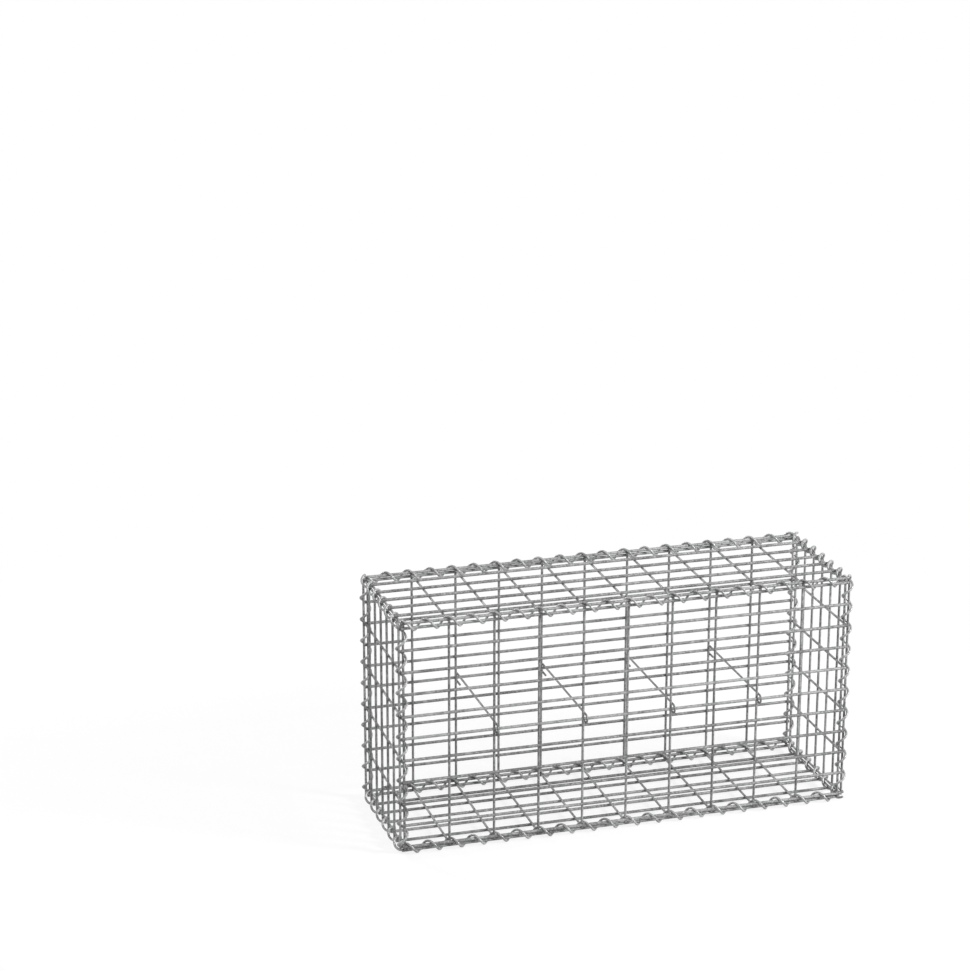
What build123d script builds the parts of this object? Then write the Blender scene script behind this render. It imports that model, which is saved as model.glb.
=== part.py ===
from build123d import *
from math import ceil, cos, floor, hypot, pi, sin, sqrt
import os

# An empty gabion basket: six welded wire panels laced along all twelve edges by wire spirals,
# and held to shape by hooked spacer ties.
# Frame: X along the length, Y from front to back, Z up.
# The origin is below the middle of the basket, at the level of the lowest turns of its spirals.

# Basket and mesh. Lengths are between the centres of the outermost wires.
basket_length = 1000.0
basket_depth = 300.0
basket_height = 500.0
wide_pitch = 100.0
narrow_per_wide = 2
wire_diameter = 5.0
wire_sides = 8
weld_set_down = 0.7

# How far the cut ends of the wires stand past the outermost wire that they are welded to.
face_level_end = 6.0
end_upright_end = 5.5
flat_long_end = 6.0
flat_cross_end = 5.0

# Lacing spirals. Each turn is drawn with straight sides.
spiral_wire = 4.0
spiral_mean_radius = 11.0
turn_sides = 8

# Clearances: round a spiral, and between other neighbours.
spiral_gap = 0.2
seat_gap = 0.3

# Where the turns of a spiral cross its upper side, the back of it if it stands upright, or the right of it
# if it runs along the depth, as a share of the pitch past a mesh wire.
front_low_share = -0.12
front_high_share = 0.02
back_low_share = 0.12
back_high_share = -0.08
front_left_share = -0.14
front_right_share = 0.24
back_left_share = 0.02
back_right_share = 0.2
left_low_share = 0.1
left_high_share = 0.5
right_low_share = -0.2
right_high_share = 0.24

# Spacer ties.
tie_wire = 3.5
tie_hook_radius = 10.0
tie_tail = 23.0
tie_every = 2

# Whole cells of mesh between the outermost wires.
length_cells = max(2, round(basket_length / wide_pitch))
height_cells = max(2, round(basket_height / wide_pitch))
depth_cells = max(2, round(basket_depth * narrow_per_wide / wide_pitch))
level_cells = height_cells * narrow_per_wide
length_step = basket_length / length_cells
height_step = basket_height / height_cells
level_step = basket_height / level_cells
depth_step = basket_depth / depth_cells

# A wire's corners reach a little past its flats, which are as far apart as its diameter.
wire_radius = wire_diameter / 2
wire_corner = wire_radius / cos(pi / wire_sides)

# The two layers of wires in a panel are a set-down weld apart.
# Heights are counted from the middle of the lowest face wire until the basket is stood on its spirals.
layer_step = wire_diameter - weld_set_down
upright_y = basket_depth / 2
level_y = upright_y + layer_step
end_level_x = basket_length / 2 + wire_diameter
end_upright_x = end_level_x + layer_step
flat_cross_rise = wire_diameter
flat_long_rise = flat_cross_rise + layer_step

# Short cut ends, kept clear of the wire that lies across them.
face_upright_end = wire_radius - seat_gap
end_level_end = layer_step - wire_radius - seat_gap

# Spiral and tie wires are square bars of the same section area as the round wire.
spiral_side = spiral_wire * sqrt(pi) / 2
tie_side = tie_wire * sqrt(pi) / 2

# The corners of a turn stand as far outside the mean radius as the middles of its sides lie inside it.
turn_corner = 2 * spiral_mean_radius / (1 + cos(pi / turn_sides))
turn_flat = turn_corner * cos(pi / turn_sides)

# How far a spiral's axis lies from the edge wires that the turns bear on.
spiral_seat = turn_flat - spiral_side / sqrt(2) - wire_corner - spiral_gap


def beside(first_wire, second_wire, inward):
    """The axis of a spiral round two parallel wires, drawn towards inward until it bears on both."""
    across = (second_wire[0] - first_wire[0], second_wire[1] - first_wire[1])
    spacing = hypot(across[0], across[1])
    drawn = sqrt(max(spiral_seat**2 - (spacing / 2) ** 2, 0))
    normal = (-across[1] / spacing, across[0] / spacing)
    if normal[0] * inward[0] + normal[1] * inward[1] < 0:
        drawn = -drawn
    return [(first_wire[i] + second_wire[i]) / 2 + drawn * normal[i] for i in range(2)]


# Spiral axes: low along the back, upright at the right-hand back corner, and low along the right-hand end.
long_axis_y, low_axis_z = beside((level_y, 0), (upright_y, -flat_long_rise), (-1, 1))
corner_axis_x, corner_axis_y = beside((basket_length / 2, upright_y), (end_upright_x, upright_y), (0, 1))
cross_wire_drop = flat_cross_rise + low_axis_z
end_axis_x = basket_length / 2 + sqrt(max(spiral_seat, wire_diameter) ** 2 - cross_wire_drop**2)
high_axis_z = basket_height - low_axis_z

# Lengths of the spirals, so that the three at a corner of the basket stay clear of each other.
spiral_reach = turn_corner + spiral_side
corner_low = low_axis_z + spiral_reach + seat_gap
corner_high = basket_height - corner_low
end_half = long_axis_y - spiral_reach - seat_gap


def places(cells, step):
    """Evenly spaced places, centred on zero."""
    return [(index - cells / 2) * step for index in range(cells + 1)]


uprights_x = places(length_cells, length_step)
long_wires_y = places(depth_cells, depth_step)
levels_z = [index * level_step for index in range(level_cells + 1)]
end_levels_z = [index * height_step for index in range(height_cells + 1)]
middle_z = basket_height / 2


def bar(centre, direction, length):
    """A straight mesh wire centred on a point, its flats square to the axes."""
    outline = RegularPolygon(wire_corner, wire_sides, rotation=180 / wire_sides)
    section = Plane(origin=centre, z_dir=direction) * outline
    return extrude(section, length / 2, both=True)


def weld(bars):
    """Wires fused into one piece of mesh."""
    return bars[0].fuse(*bars[1:])


def face_panel(side):
    """Front or back: level wires outside, uprights inside."""
    level_length = basket_length + 2 * face_level_end
    upright_length = basket_height + 2 * face_upright_end
    levels = [bar((0, side * level_y, z), (1, 0, 0), level_length) for z in levels_z]
    uprights = [bar((x, side * upright_y, middle_z), (0, 0, 1), upright_length) for x in uprights_x]
    return weld(levels + uprights)


def end_panel(side):
    """Left or right end: uprights outside, level wires inside."""
    upright_length = basket_height + 2 * end_upright_end
    level_length = basket_depth + 2 * end_level_end
    uprights = [bar((side * end_upright_x, y, middle_z), (0, 0, 1), upright_length) for y in long_wires_y]
    levels = [bar((side * end_level_x, 0, z), (0, 1, 0), level_length) for z in end_levels_z]
    return weld(uprights + levels)


def flat_panel(level, side):
    """Lid or base: long wires outside, cross wires inside."""
    long_length = basket_length + 2 * flat_long_end
    cross_length = basket_depth + 2 * flat_cross_end
    longs = [bar((0, y, level + side * flat_long_rise), (1, 0, 0), long_length) for y in long_wires_y]
    crosses = [bar((x, 0, level + side * flat_cross_rise), (0, 1, 0), cross_length) for x in uprights_x]
    return weld(longs + crosses)


def bent_wire(points, side, flat_towards):
    """A square bar mitred along a line of points."""
    path = Polyline(*points)
    section = Plane(origin=path @ 0, x_dir=flat_towards, z_dir=path % 0) * Rectangle(side, side)
    return sweep(section, path=path, transition=Transition.RIGHT)


def spiral(axis, across, up, low, high, wire, pitch, share):
    """A right-handed wire spiral between two places along its axis.

    axis(place) is the point there, and wire is the place of a mesh wire. A turn crosses the side that up
    names at a share of the pitch past that wire, and it has the middle of a straight side there.
    """
    step = pitch / turn_sides
    start = wire + share * pitch + step / 2
    first = ceil((low - start) / step)
    last = floor((high - start) / step)
    points = []
    for index in range(first, last + 1):
        angle = pi / 2 + 2 * pi * (index + 0.5) / turn_sides
        outwards = across * (turn_corner * cos(angle)) + up * (turn_corner * sin(angle))
        points.append(axis(start + index * step) + outwards)
    return bent_wire(points, spiral_side, points[0] - axis(start + first * step))


def long_spiral(y, z, share):
    """Along an edge of the basket's length."""
    half = basket_length / 2
    axis = lambda place: Vector(place, y, z)
    pitch = length_step / narrow_per_wide
    return spiral(axis, Vector(0, 1, 0), Vector(0, 0, 1), -half, half, uprights_x[0], pitch, share)


def corner_spiral(x, y, share):
    """Up an upright edge."""
    axis = lambda place: Vector(x, y, place)
    back = Vector(0, 1, 0)
    return spiral(axis, Vector(1, 0, 0), back, corner_low, corner_high, levels_z[0], level_step, share)


def end_spiral(x, z, share):
    """Along an edge of the basket's depth."""
    axis = lambda place: Vector(x, place, z)
    right = Vector(1, 0, 0)
    return spiral(axis, Vector(0, 0, 1), right, -end_half, end_half, long_wires_y[0], depth_step, share)


def spacer_tie(upright_x):
    """A rod from front to back beside an upright, hooked round the middle level wires of both faces."""
    x = upright_x + wire_radius + seat_gap + tie_side / 2
    level = levels_z[level_cells // 2]
    half_turn = [index * 2 * pi / turn_sides for index in range(turn_sides // 2 + 1)]
    radius = tie_hook_radius
    back_hook = [(x, level_y + radius * sin(angle), level + radius * cos(angle)) for angle in half_turn]
    front_hook = [(x, -y, z) for x, y, z in reversed(back_hook)]
    tail_y = level_y - tie_tail
    tail_z = level - tie_hook_radius
    points = [(x, -tail_y, tail_z)] + front_hook + back_hook + [(x, tail_y, tail_z)]
    return bent_wire(points, tie_side, (1, 0, 0))


parts = {}
parts["front_panel"] = face_panel(-1)
parts["back_panel"] = face_panel(1)
parts["left_end_panel"] = end_panel(-1)
parts["right_end_panel"] = end_panel(1)
parts["base_panel"] = flat_panel(0, -1)
parts["lid_panel"] = flat_panel(basket_height, 1)

parts["front_bottom_spiral"] = long_spiral(-long_axis_y, low_axis_z, front_low_share)
parts["front_top_spiral"] = long_spiral(-long_axis_y, high_axis_z, front_high_share)
parts["back_bottom_spiral"] = long_spiral(long_axis_y, low_axis_z, back_low_share)
parts["back_top_spiral"] = long_spiral(long_axis_y, high_axis_z, back_high_share)
parts["front_left_spiral"] = corner_spiral(-corner_axis_x, -corner_axis_y, front_left_share)
parts["front_right_spiral"] = corner_spiral(corner_axis_x, -corner_axis_y, front_right_share)
parts["back_left_spiral"] = corner_spiral(-corner_axis_x, corner_axis_y, back_left_share)
parts["back_right_spiral"] = corner_spiral(corner_axis_x, corner_axis_y, back_right_share)
parts["left_bottom_spiral"] = end_spiral(-end_axis_x, low_axis_z, left_low_share)
parts["left_top_spiral"] = end_spiral(-end_axis_x, high_axis_z, left_high_share)
parts["right_bottom_spiral"] = end_spiral(end_axis_x, low_axis_z, right_low_share)
parts["right_top_spiral"] = end_spiral(end_axis_x, high_axis_z, right_high_share)

for number, upright_x in enumerate(uprights_x[tie_every:-1:tie_every], start=1):
    parts[f"spacer_tie_{number}"] = spacer_tie(upright_x)

# Stand the basket on its lowest turns.
ground = min(shape.bounding_box().min.Z for name, shape in parts.items() if "bottom" in name)

os.makedirs("parts", exist_ok=True)
for name, shape in parts.items():
    export_step(Pos(0, 0, -ground) * shape, f"parts/{name}.step")
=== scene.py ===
import bpy
import math
import random
from mathutils import Matrix, Vector


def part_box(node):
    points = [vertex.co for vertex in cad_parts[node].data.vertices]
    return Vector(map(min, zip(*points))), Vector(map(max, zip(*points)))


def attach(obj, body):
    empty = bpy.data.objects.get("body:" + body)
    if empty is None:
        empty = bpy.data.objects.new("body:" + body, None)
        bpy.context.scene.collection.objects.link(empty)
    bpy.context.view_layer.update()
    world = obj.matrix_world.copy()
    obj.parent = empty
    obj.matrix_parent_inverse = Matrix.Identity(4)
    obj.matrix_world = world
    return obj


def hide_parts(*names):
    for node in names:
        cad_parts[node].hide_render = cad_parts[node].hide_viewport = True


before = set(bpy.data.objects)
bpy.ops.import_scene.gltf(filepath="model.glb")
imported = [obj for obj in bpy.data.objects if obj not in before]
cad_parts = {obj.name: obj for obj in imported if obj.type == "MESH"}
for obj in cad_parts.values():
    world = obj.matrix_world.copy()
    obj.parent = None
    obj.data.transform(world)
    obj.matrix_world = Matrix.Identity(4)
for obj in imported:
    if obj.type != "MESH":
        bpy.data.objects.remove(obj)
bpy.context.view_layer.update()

# The basket and its mesh, in metres. Lengths are between the centres of the outermost wires.
MM = 0.001
LENGTH = 1000 * MM
DEPTH = 300 * MM
HEIGHT = 500 * MM
WIDE = 100 * MM
NARROW = 50 * MM
SOLID_WIRE = 5 * MM
LAYER = 4.3 * MM

# The axes that wires and spirals run along.
ALONG, ACROSS, UPWARDS = range(3)

# Radii of the mesh wires by the axis that they run along.
WIRES = (3.3 * MM, 2.5 * MM, 2.7 * MM)
WELD_BEAD = 3.0 * MM

# How far the cut ends of the mesh wires stand past the outermost wire that they are welded to.
LONG_END = 6 * MM
FACE_UPRIGHT_END = 2.2 * MM
END_UPRIGHT_END = 5.5 * MM
END_LEVEL_END = 1.5 * MM
FLAT_CROSS_END = 5 * MM

# Spirals: the radius of their wire, the radius that it winds at, and how far they run into the corners.
SPIRAL_WIRE = 2.6 * MM
SPIRAL_R = 10.45 * MM
SPIRAL_STEPS = 28
CORNER_END = 2 * MM

# Spacer ties: the radius of their wire, of their hooks, and the length of wire back from a hook.
TIE_WIRE = 2.25 * MM
TIE_R = 9.35 * MM
TIE_TAIL = 23 * MM
TIE_ASIDE = 0.2 * MM
TIE_COUNT = 4
HOOK_STEPS = 16
ROD_STEPS = 12

# How round the wires are, and how they stray from a straight line.
MESH_SIDES = 14
BENT_SIDES = 12
CHAMFER = 0.35 * MM
STRAY = 0.12 * MM
STRAY_WAVE = 9

# Marks of burnt zinc on a mesh wire, by the distance from a weld in millimetres.
WELD_MARKS = ((-7, 0.0), (-4, 0.35), (-1.6, 0.95), (1.6, 0.95), (4, 0.35), (7, 0.0))
END_MARK = 0.3
END_MARGIN = 0.8 * MM

# The heights of the lowest and highest level wires of the faces, from the frame.
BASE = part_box("front_panel")[0].z + SOLID_WIRE / 2
TOP = BASE + HEIGHT

rng = random.Random(7)


def places(start, length, step):
    """Even places from the start, one step apart."""
    return [start + i * step for i in range(round(length / step) + 1)]


LONG_X = places(-LENGTH / 2, LENGTH, WIDE)
NARROW_Y = places(-DEPTH / 2, DEPTH, NARROW)
LEVELS = places(BASE, HEIGHT, NARROW)
END_LEVELS = places(BASE, HEIGHT, WIDE)


class Build:
    """Vertices, faces and per-vertex marks of one piece."""

    def __init__(self):
        self.verts = []
        self.faces = []
        self.flat = set()
        self.weld = []
        self.shade = []

    def wall(self, start, rows, sides):
        """Faces between rows of vertices that go round a wire or a bead."""
        for r in range(rows - 1):
            for k in range(sides):
                a = start + r * sides + k
                b = start + r * sides + (k + 1) % sides
                self.faces.append((a, b, b + sides, a + sides))

    def caps(self, start, rows, sides):
        """The two end faces, turned outwards."""
        end = start + (rows - 1) * sides
        self.faces.append(tuple(start + k for k in reversed(range(sides))))
        self.faces.append(tuple(end + k for k in range(sides)))

    def tube(self, points, radius, sides, marks=None, shade=None):
        """A round wire along the points, with slightly rounded cut ends."""
        pts = [Vector(p) for p in points]
        marks = marks or [0.0] * len(pts)
        shade = rng.random() if shade is None else shade
        first = (pts[1] - pts[0]).normalized()
        last = (pts[-1] - pts[-2]).normalized()
        rows = [(pts[0], first, radius - CHAMFER, marks[0])]
        rows.append((pts[0] + first * CHAMFER, first, radius, marks[0]))
        for i in range(1, len(pts) - 1):
            tangent = (pts[i + 1] - pts[i - 1]).normalized()
            rows.append((pts[i], tangent, radius, marks[i]))
        rows.append((pts[-1] - last * CHAMFER, last, radius, marks[-1]))
        rows.append((pts[-1], last, radius - CHAMFER, marks[-1]))

        # The cross section is carried along the wire without twisting.
        steep = abs(first.z) > 0.9
        helper = Vector((1, 0, 0)) if steep else Vector((0, 0, 1))
        normal = first.cross(helper).normalized()
        before = first
        start = len(self.verts)
        for place, tangent, size, mark in rows:
            normal = before.rotation_difference(tangent) @ normal
            normal = (normal - tangent * normal.dot(tangent)).normalized()
            side = tangent.cross(normal)
            before = tangent
            for k in range(sides):
                a = math.tau * k / sides
                self.verts.append(place + (normal * math.cos(a) + side * math.sin(a)) * size)
                self.weld.append(mark)
                self.shade.append(shade)
        self.wall(start, len(rows), sides)
        self.flat.update((len(self.faces), len(self.faces) + 1))
        self.caps(start, len(rows), sides)

    def bead(self, centre, normal):
        """The bulge of squeezed metal where two crossing wires are welded."""
        normal = Vector(normal)
        a = normal.orthogonal().normalized()
        b = normal.cross(a)
        spin = rng.random() * math.tau
        wide = WELD_BEAD * rng.uniform(0.92, 1.08)
        long = WELD_BEAD * rng.uniform(0.92, 1.08)
        rings = ((-0.75, 0.62), (-0.3, 0.95), (0.3, 0.95), (0.75, 0.62))
        thickness = 0.62
        count = 12
        start = len(self.verts)
        for height, spread in rings:
            for k in range(count):
                t = math.tau * k / count
                across = a * math.cos(t + spin) * wide + b * math.sin(t + spin) * long
                out = normal * (height * WELD_BEAD * thickness)
                self.verts.append(Vector(centre) + across * spread + out)
                self.weld.append(1.0)
                self.shade.append(0.5)
        self.wall(start, len(rings), count)
        self.caps(start, len(rings), count)

    def piece(self, name, material, node):
        """The finished mesh, which replaces a node of the frame."""
        mesh = bpy.data.meshes.new(name)
        mesh.from_pydata([tuple(v) for v in self.verts], [], self.faces)
        for index, face in enumerate(mesh.polygons):
            face.use_smooth = index not in self.flat
        for label, values in (("weld", self.weld), ("wire", self.shade)):
            layer = mesh.attributes.new(label, "FLOAT", "POINT")
            layer.data.foreach_set("value", values)
        mesh.materials.append(material)
        mesh.update()
        made = bpy.data.objects.new(name, mesh)
        bpy.context.scene.collection.objects.link(made)
        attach(made, "root")
        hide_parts(node)


class Nodes:
    """Short names for adding and joining the nodes of a material or the world."""

    def __init__(self, owner):
        owner.use_nodes = True
        self.nodes = owner.node_tree.nodes
        self.links = owner.node_tree.links

    def add(self, kind, **values):
        node = self.nodes.new("ShaderNode" + kind)
        for name, value in values.items():
            node.inputs[name].default_value = value
        return node

    def join(self, output, socket):
        self.links.new(output, socket)

    def maths(self, kind, *terms):
        """A calculation on sockets and plain numbers."""
        node = self.add("Math")
        node.operation = kind
        for socket, term in zip(node.inputs, terms):
            if hasattr(term, "links"):
                self.join(term, socket)
            else:
                socket.default_value = term
        return node.outputs[0]

    def mark(self, label):
        """A per-vertex mark of the mesh."""
        node = self.add("Attribute")
        node.attribute_name = label
        return node.outputs["Fac"]

    def mixed(self, factor, first, second):
        """One shader or the other."""
        node = self.add("MixShader")
        for socket, output in zip(node.inputs, (factor, first, second)):
            self.join(output, socket)
        return node.outputs[0]

    def seen_directly(self):
        """1 for camera, glossy and transmission rays, and 0 for the rest."""
        ray = self.add("LightPath")
        shiny = self.maths("MAXIMUM", ray.outputs["Is Camera Ray"], ray.outputs["Is Glossy Ray"])
        return self.maths("MAXIMUM", shiny, ray.outputs["Is Transmission Ray"])


def galvanised(name, bright, dull, metallic, roughness, crystal_scale):
    """Zinc coat: crystals of slightly different brightness, fine grain, dull bloom and burnt welds."""
    material = bpy.data.materials.new(name)
    tree = Nodes(material)
    shader = tree.nodes["Principled BSDF"]
    shader.inputs["Metallic"].default_value = metallic
    shader.inputs["IOR"].default_value = 1.5
    shader.inputs["Specular IOR Level"].default_value = 0.3

    place = tree.add("TexCoord")
    crystals = tree.add("TexVoronoi", Scale=crystal_scale, Randomness=1.0)
    clouds = tree.add("TexNoise", Scale=22, Detail=5, Roughness=0.62)
    grain = tree.add("TexNoise", Scale=1400, Detail=3)
    for texture in (crystals, clouds, grain):
        tree.join(place.outputs["Object"], texture.inputs["Vector"])
    crystal = tree.add("SeparateColor")
    tree.join(crystals.outputs["Color"], crystal.inputs["Color"])
    weld = tree.mark("weld")

    # Brightness from the crystals, the clouds, the wire itself and the grain.
    light = tree.maths("MULTIPLY", crystal.outputs["Red"], 0.30)
    light = tree.maths("MULTIPLY_ADD", clouds.outputs["Fac"], 0.62, light)
    light = tree.maths("MULTIPLY_ADD", tree.mark("wire"), 0.16, light)
    light = tree.maths("MULTIPLY_ADD", grain.outputs["Fac"], 0.18, light)
    tone = tree.add("ValToRGB")
    for stop, position, colour in zip(tone.color_ramp.elements, (0.47, 0.79), (dull, bright)):
        stop.position = position
        stop.color = (*colour, 1)
    tree.join(light, tone.inputs["Fac"])

    # Burnt zinc at the welds, in patches.
    burnt = tree.add("Mix")
    burnt.data_type = "RGBA"
    factor, clean, charred = burnt.inputs[0], burnt.inputs[6], burnt.inputs[7]
    charred.default_value = (0.16, 0.155, 0.15, 1)
    patches = tree.maths("MULTIPLY", clouds.outputs["Fac"], 0.9)
    tree.join(tree.maths("MULTIPLY", weld, patches), factor)
    tree.join(tone.outputs["Color"], clean)
    tree.join(burnt.outputs[2], shader.inputs["Base Color"])

    rough = tree.maths("MULTIPLY_ADD", crystal.outputs["Green"], 0.16, roughness)
    rough = tree.maths("MULTIPLY_ADD", weld, 0.12, rough)
    tree.join(rough, shader.inputs["Roughness"])

    bump = tree.add("Bump", Strength=0.35, Distance=0.12 * MM)
    relief = tree.maths("MULTIPLY_ADD", crystals.outputs["Distance"], 0.5, grain.outputs["Fac"])
    tree.join(relief, bump.inputs["Height"])
    tree.join(bump.outputs["Normal"], shader.inputs["Normal"])
    return material


mesh_zinc = galvanised("mesh_zinc", (0.435, 0.438, 0.442), (0.15, 0.151, 0.152), 0.2, 0.4, 420)
# The spirals are the same zinc as the mesh. Their lighter colour is a painted highlight that makes the
# strands look brightly lit.
spiral_zinc_painted_highlight = galvanised("spiral_zinc_painted_highlight", (0.53, 0.534, 0.538), (0.19, 0.192, 0.193), 0.3, 0.32, 520)
tie_zinc = galvanised("tie_zinc", (0.3, 0.302, 0.304), (0.12, 0.121, 0.122), 0.25, 0.34, 520)


def mesh_wire(build, fixed, axis, low, high, crossings):
    """A straight mesh wire with closer rings at its welds, and a touch of unevenness."""
    stops = [(c + off * MM, mark) for c in crossings for off, mark in WELD_MARKS]
    stops = [stop for stop in stops if low + END_MARGIN < stop[0] < high - END_MARGIN]
    stops = [(low, END_MARK)] + sorted(stops) + [(high, END_MARK)]
    phase = [rng.uniform(0, math.tau) for _ in range(2)]
    others = [i for i in range(3) if i != axis]
    points = []
    for t, _ in stops:
        p = [0, 0, 0]
        p[axis] = t
        for n, i in enumerate(others):
            p[i] = fixed[n] + STRAY * math.sin(t * STRAY_WAVE + phase[n])
        points.append(p)
    build.tube(points, WIRES[axis], MESH_SIDES, marks=[mark for _, mark in stops])


def face_panel(name, side):
    """Front or back: level wires outside, uprights inside."""
    build = Build()
    half = LENGTH / 2 + LONG_END
    inner = side * DEPTH / 2
    outer = side * (DEPTH / 2 + LAYER)
    for z in LEVELS:
        mesh_wire(build, (outer, z), ALONG, -half, half, LONG_X)
    for x in LONG_X:
        mesh_wire(build, (x, inner), UPWARDS, BASE - FACE_UPRIGHT_END, TOP + FACE_UPRIGHT_END, LEVELS)
    for x in LONG_X:
        for z in LEVELS:
            build.bead((x, side * (DEPTH / 2 + LAYER / 2), z), (0, side, 0))
    build.piece(name + "_mesh", mesh_zinc, name)


def end_panel(name, side):
    """Left or right end: uprights outside, level wires inside."""
    build = Build()
    half = DEPTH / 2 + END_LEVEL_END
    inner = side * (LENGTH / 2 + SOLID_WIRE)
    outer = side * (LENGTH / 2 + SOLID_WIRE + LAYER)
    for y in NARROW_Y:
        mesh_wire(build, (outer, y), UPWARDS, BASE - END_UPRIGHT_END, TOP + END_UPRIGHT_END, END_LEVELS)
    for z in END_LEVELS:
        mesh_wire(build, (inner, z), ACROSS, -half, half, NARROW_Y)
    for y in NARROW_Y:
        for z in END_LEVELS:
            build.bead((side * (LENGTH / 2 + SOLID_WIRE + LAYER / 2), y, z), (side, 0, 0))
    build.piece(name + "_mesh", mesh_zinc, name)


def flat_panel(name, level, side):
    """Lid or base: long wires outside, cross wires inside."""
    build = Build()
    half_long = LENGTH / 2 + LONG_END
    half_cross = DEPTH / 2 + FLAT_CROSS_END
    inner = level + side * SOLID_WIRE
    outer = level + side * (SOLID_WIRE + LAYER)
    for y in NARROW_Y:
        mesh_wire(build, (y, outer), ALONG, -half_long, half_long, LONG_X)
    for x in LONG_X:
        mesh_wire(build, (x, inner), ACROSS, -half_cross, half_cross, NARROW_Y)
    for x in LONG_X:
        for y in NARROW_Y:
            build.bead((x, y, level + side * (SOLID_WIRE + LAYER / 2)), (0, 0, side))
    build.piece(name + "_mesh", mesh_zinc, name)


face_panel("front_panel", -1)
face_panel("back_panel", 1)
end_panel("left_end_panel", -1)
end_panel("right_end_panel", 1)
flat_panel("base_panel", BASE, -1)
flat_panel("lid_panel", TOP, 1)


def spiral(name, axis, low, high, top):
    """A wire spiral on the axis of its node, where a turn crosses its upper side at the place named top.

    An upright spiral has its back there instead, and one that runs from front to back has its right.
    """
    box_low, box_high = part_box(name)
    middle = (box_low + box_high) / 2
    second = (axis + 1) % 3
    third = (axis + 2) % 3
    count = round((high - low) / NARROW * SPIRAL_STEPS)
    points = []
    for i in range(count + 1):
        t = low + (high - low) * i / count
        angle = math.pi / 2 + math.tau * (t - top) / NARROW
        p = Vector((0, 0, 0))
        p[axis] = t
        p[second] = middle[second] + SPIRAL_R * math.cos(angle)
        p[third] = middle[third] + SPIRAL_R * math.sin(angle)
        points.append(p)
    build = Build()
    build.tube(points, SPIRAL_WIRE, BENT_SIDES, shade=0.6)
    build.piece(name + "_wire", spiral_zinc_painted_highlight, name)


def long_spiral(name, top):
    spiral(name, ALONG, -LENGTH / 2, LENGTH / 2, top * MM)


def corner_spiral(name, top):
    spiral(name, UPWARDS, BASE - CORNER_END, TOP + CORNER_END, BASE + top * MM)


def end_spiral(name, top):
    spiral(name, ACROSS, -DEPTH / 2 - CORNER_END, DEPTH / 2 + CORNER_END, top * MM)


long_spiral("front_bottom_spiral", 5)
long_spiral("front_top_spiral", 1)
long_spiral("back_bottom_spiral", -7)
long_spiral("back_top_spiral", -6)
corner_spiral("front_left_spiral", -5.5)
corner_spiral("front_right_spiral", 9)
corner_spiral("back_left_spiral", 0.5)
corner_spiral("back_right_spiral", 10)
end_spiral("left_bottom_spiral", 3)
end_spiral("left_top_spiral", 14)
end_spiral("right_bottom_spiral", -7)
end_spiral("right_top_spiral", 10)


def spacer_tie(name):
    """A rod hooked round the middle level wires of the front and the back."""
    low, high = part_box(name)
    x = (low.x + high.x) / 2 + TIE_ASIDE
    level = BASE + HEIGHT / 2
    bend = DEPTH / 2 + LAYER
    half_turn = [math.pi * i / HOOK_STEPS for i in range(HOOK_STEPS + 1)]
    points = [Vector((x, -bend + tail, level - TIE_R)) for tail in (TIE_TAIL, TIE_TAIL / 2)]
    for a in half_turn:
        points.append(Vector((x, -bend - TIE_R * math.sin(a), level - TIE_R * math.cos(a))))
    for i in range(1, ROD_STEPS):
        points.append(Vector((x, -bend + 2 * bend * i / ROD_STEPS, level + TIE_R)))
    for a in half_turn:
        points.append(Vector((x, bend + TIE_R * math.sin(a), level + TIE_R * math.cos(a))))
    points += [Vector((x, bend - tail, level - TIE_R)) for tail in (TIE_TAIL / 2, TIE_TAIL)]
    build = Build()
    build.tube(points, TIE_WIRE, BENT_SIDES, shade=0.4)
    build.piece(name + "_rod", tie_zinc, name)


for number in range(1, TIE_COUNT + 1):
    spacer_tie(f"spacer_tie_{number}")


scene = bpy.context.scene
scene.view_settings.view_transform = "Standard"


def studio_world():
    """A white surround that adds only soft light to the object."""
    world = bpy.data.worlds.new("studio")
    tree = Nodes(world)
    white = tree.nodes["Background"]
    white.inputs["Color"].default_value = (1, 1, 1, 1)
    strength = tree.add("MapRange", **{"To Min": 0.25, "To Max": 1.0})
    tree.join(tree.seen_directly(), strength.inputs["Value"])
    tree.join(strength.outputs["Result"], white.inputs["Strength"])
    scene.world = world


def floor_paint():
    """White to the eye, with the basket's soft shadow near it, and a matte grey to other light."""
    paint = bpy.data.materials.new("floor_paint")
    tree = Nodes(paint)
    matte = tree.nodes["Principled BSDF"]
    matte.inputs["Base Color"].default_value = (0.55, 0.55, 0.55, 1)
    matte.inputs["Roughness"].default_value = 1.0
    matte.inputs["Specular IOR Level"].default_value = 0.0
    shaded = tree.add("BsdfDiffuse", Color=(0.2, 0.2, 0.2, 1))
    glow = tree.add("Emission", Strength=0.812)
    catcher = tree.add("AddShader")
    tree.join(shaded.outputs[0], catcher.inputs[0])
    tree.join(glow.outputs[0], catcher.inputs[1])
    white = tree.add("Emission", Strength=1.0)

    # The shadow fades out away from the basket.
    place = tree.add("TexCoord")
    distance = tree.add("VectorMath")
    distance.operation = "LENGTH"
    tree.join(place.outputs["Object"], distance.inputs[0])
    fade = tree.add("MapRange", **{"From Min": 0.9, "From Max": 2.2})
    fade.interpolation_type = "SMOOTHSTEP"
    tree.join(distance.outputs["Value"], fade.inputs["Value"])

    seen = tree.mixed(fade.outputs["Result"], catcher.outputs[0], white.outputs[0])
    whole = tree.mixed(tree.seen_directly(), matte.outputs[0], seen)
    tree.join(whole, tree.nodes["Material Output"].inputs["Surface"])
    return paint


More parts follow.
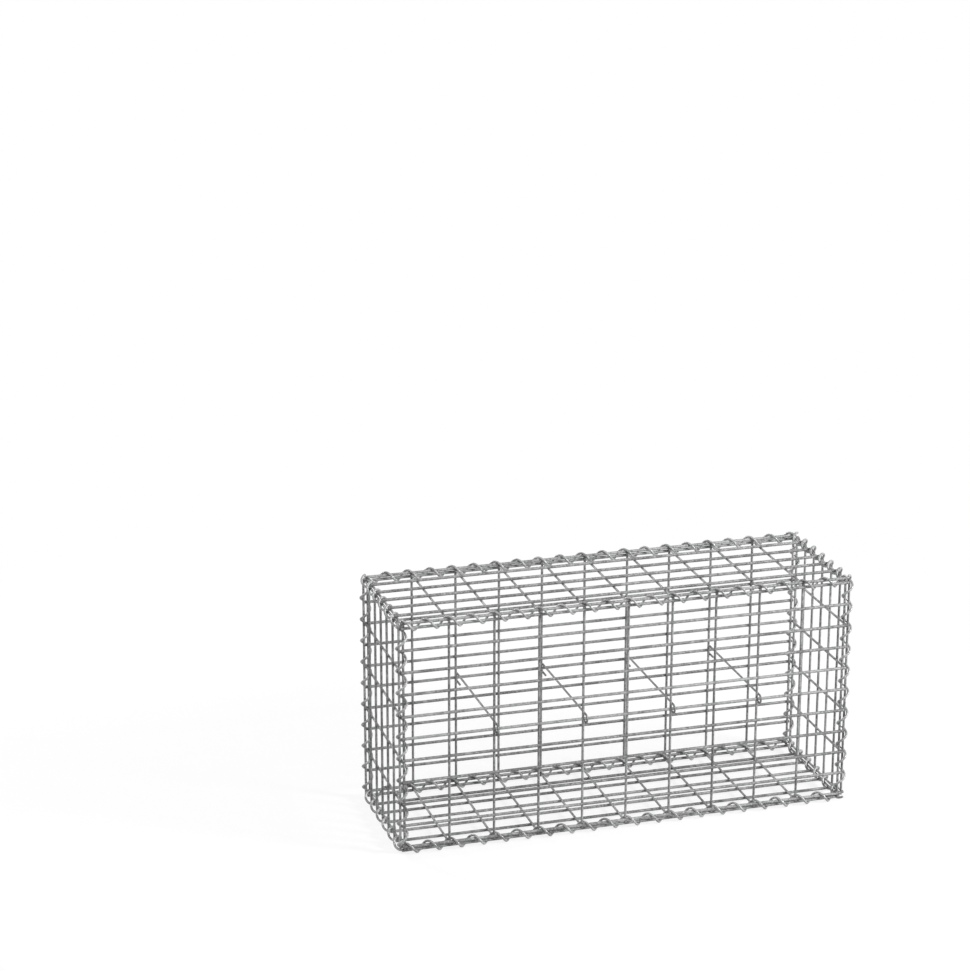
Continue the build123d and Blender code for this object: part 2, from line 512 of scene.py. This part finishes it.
def studio_floor(reach):
    mesh = bpy.data.meshes.new("floor")
    corners = [(-reach, -reach, 0), (reach, -reach, 0), (reach, reach, 0), (-reach, reach, 0)]
    mesh.from_pydata(corners, [], [(0, 1, 2, 3)])
    mesh.materials.append(floor_paint())
    floor = bpy.data.objects.new("floor", mesh)
    scene.collection.objects.link(floor)


def lamp(name, place, size, power):
    """A round soft lamp, aimed at the middle of the basket."""
    data = bpy.data.lights.new(name, "AREA")
    data.shape = "DISK"
    data.size = size
    data.energy = power
    made = bpy.data.objects.new(name, data)
    made.location = place
    made.rotation_mode = "QUATERNION"
    made.rotation_quaternion = (Vector((0, 0, HEIGHT / 2)) - Vector(place)).to_track_quat("-Z", "Y")
    scene.collection.objects.link(made)


def photo_camera():
    """A camera at the photo's viewing place and framing."""
    photo_pixels = 971
    focal_pixels = 2938.4
    azimuth = math.radians(16.4875)
    elevation = math.radians(17.9906)
    roll = math.radians(0.0406)
    lens = bpy.data.cameras.new("camera")
    lens.sensor_fit = "AUTO"
    lens.sensor_width = 36
    lens.lens = focal_pixels * lens.sensor_width / photo_pixels
    lens.shift_x = -0.65 / photo_pixels
    lens.shift_y = -0.55 / photo_pixels
    lens.clip_start = 0.1
    lens.clip_end = 100

    ahead = Vector((math.sin(azimuth), math.cos(azimuth), 0))
    forward = ahead * math.cos(elevation) - Vector((0, 0, math.sin(elevation)))
    level = Vector((math.cos(azimuth), -math.sin(azimuth), 0))
    upright = level.cross(forward)
    right = level * math.cos(roll) + upright * math.sin(roll)
    up = right.cross(forward)
    eye = bpy.data.objects.new("camera", lens)
    eye.location = Vector((-1966.8 * MM, -5715.5 * MM, 2682.8 * MM + BASE))
    eye.rotation_mode = "QUATERNION"
    eye.rotation_quaternion = Matrix((right, up, -forward)).transposed().to_quaternion()
    scene.collection.objects.link(eye)
    scene.camera = eye


studio_world()
studio_floor(30)
lamp("key", (3.6, -2.6, 2.5), 1.2, 240)
lamp("fill", (-2.4, -1.4, 4.0), 2.0, 48)
lamp("back", (-2.2, 3.6, 2.6), 1.8, 95)
photo_camera()
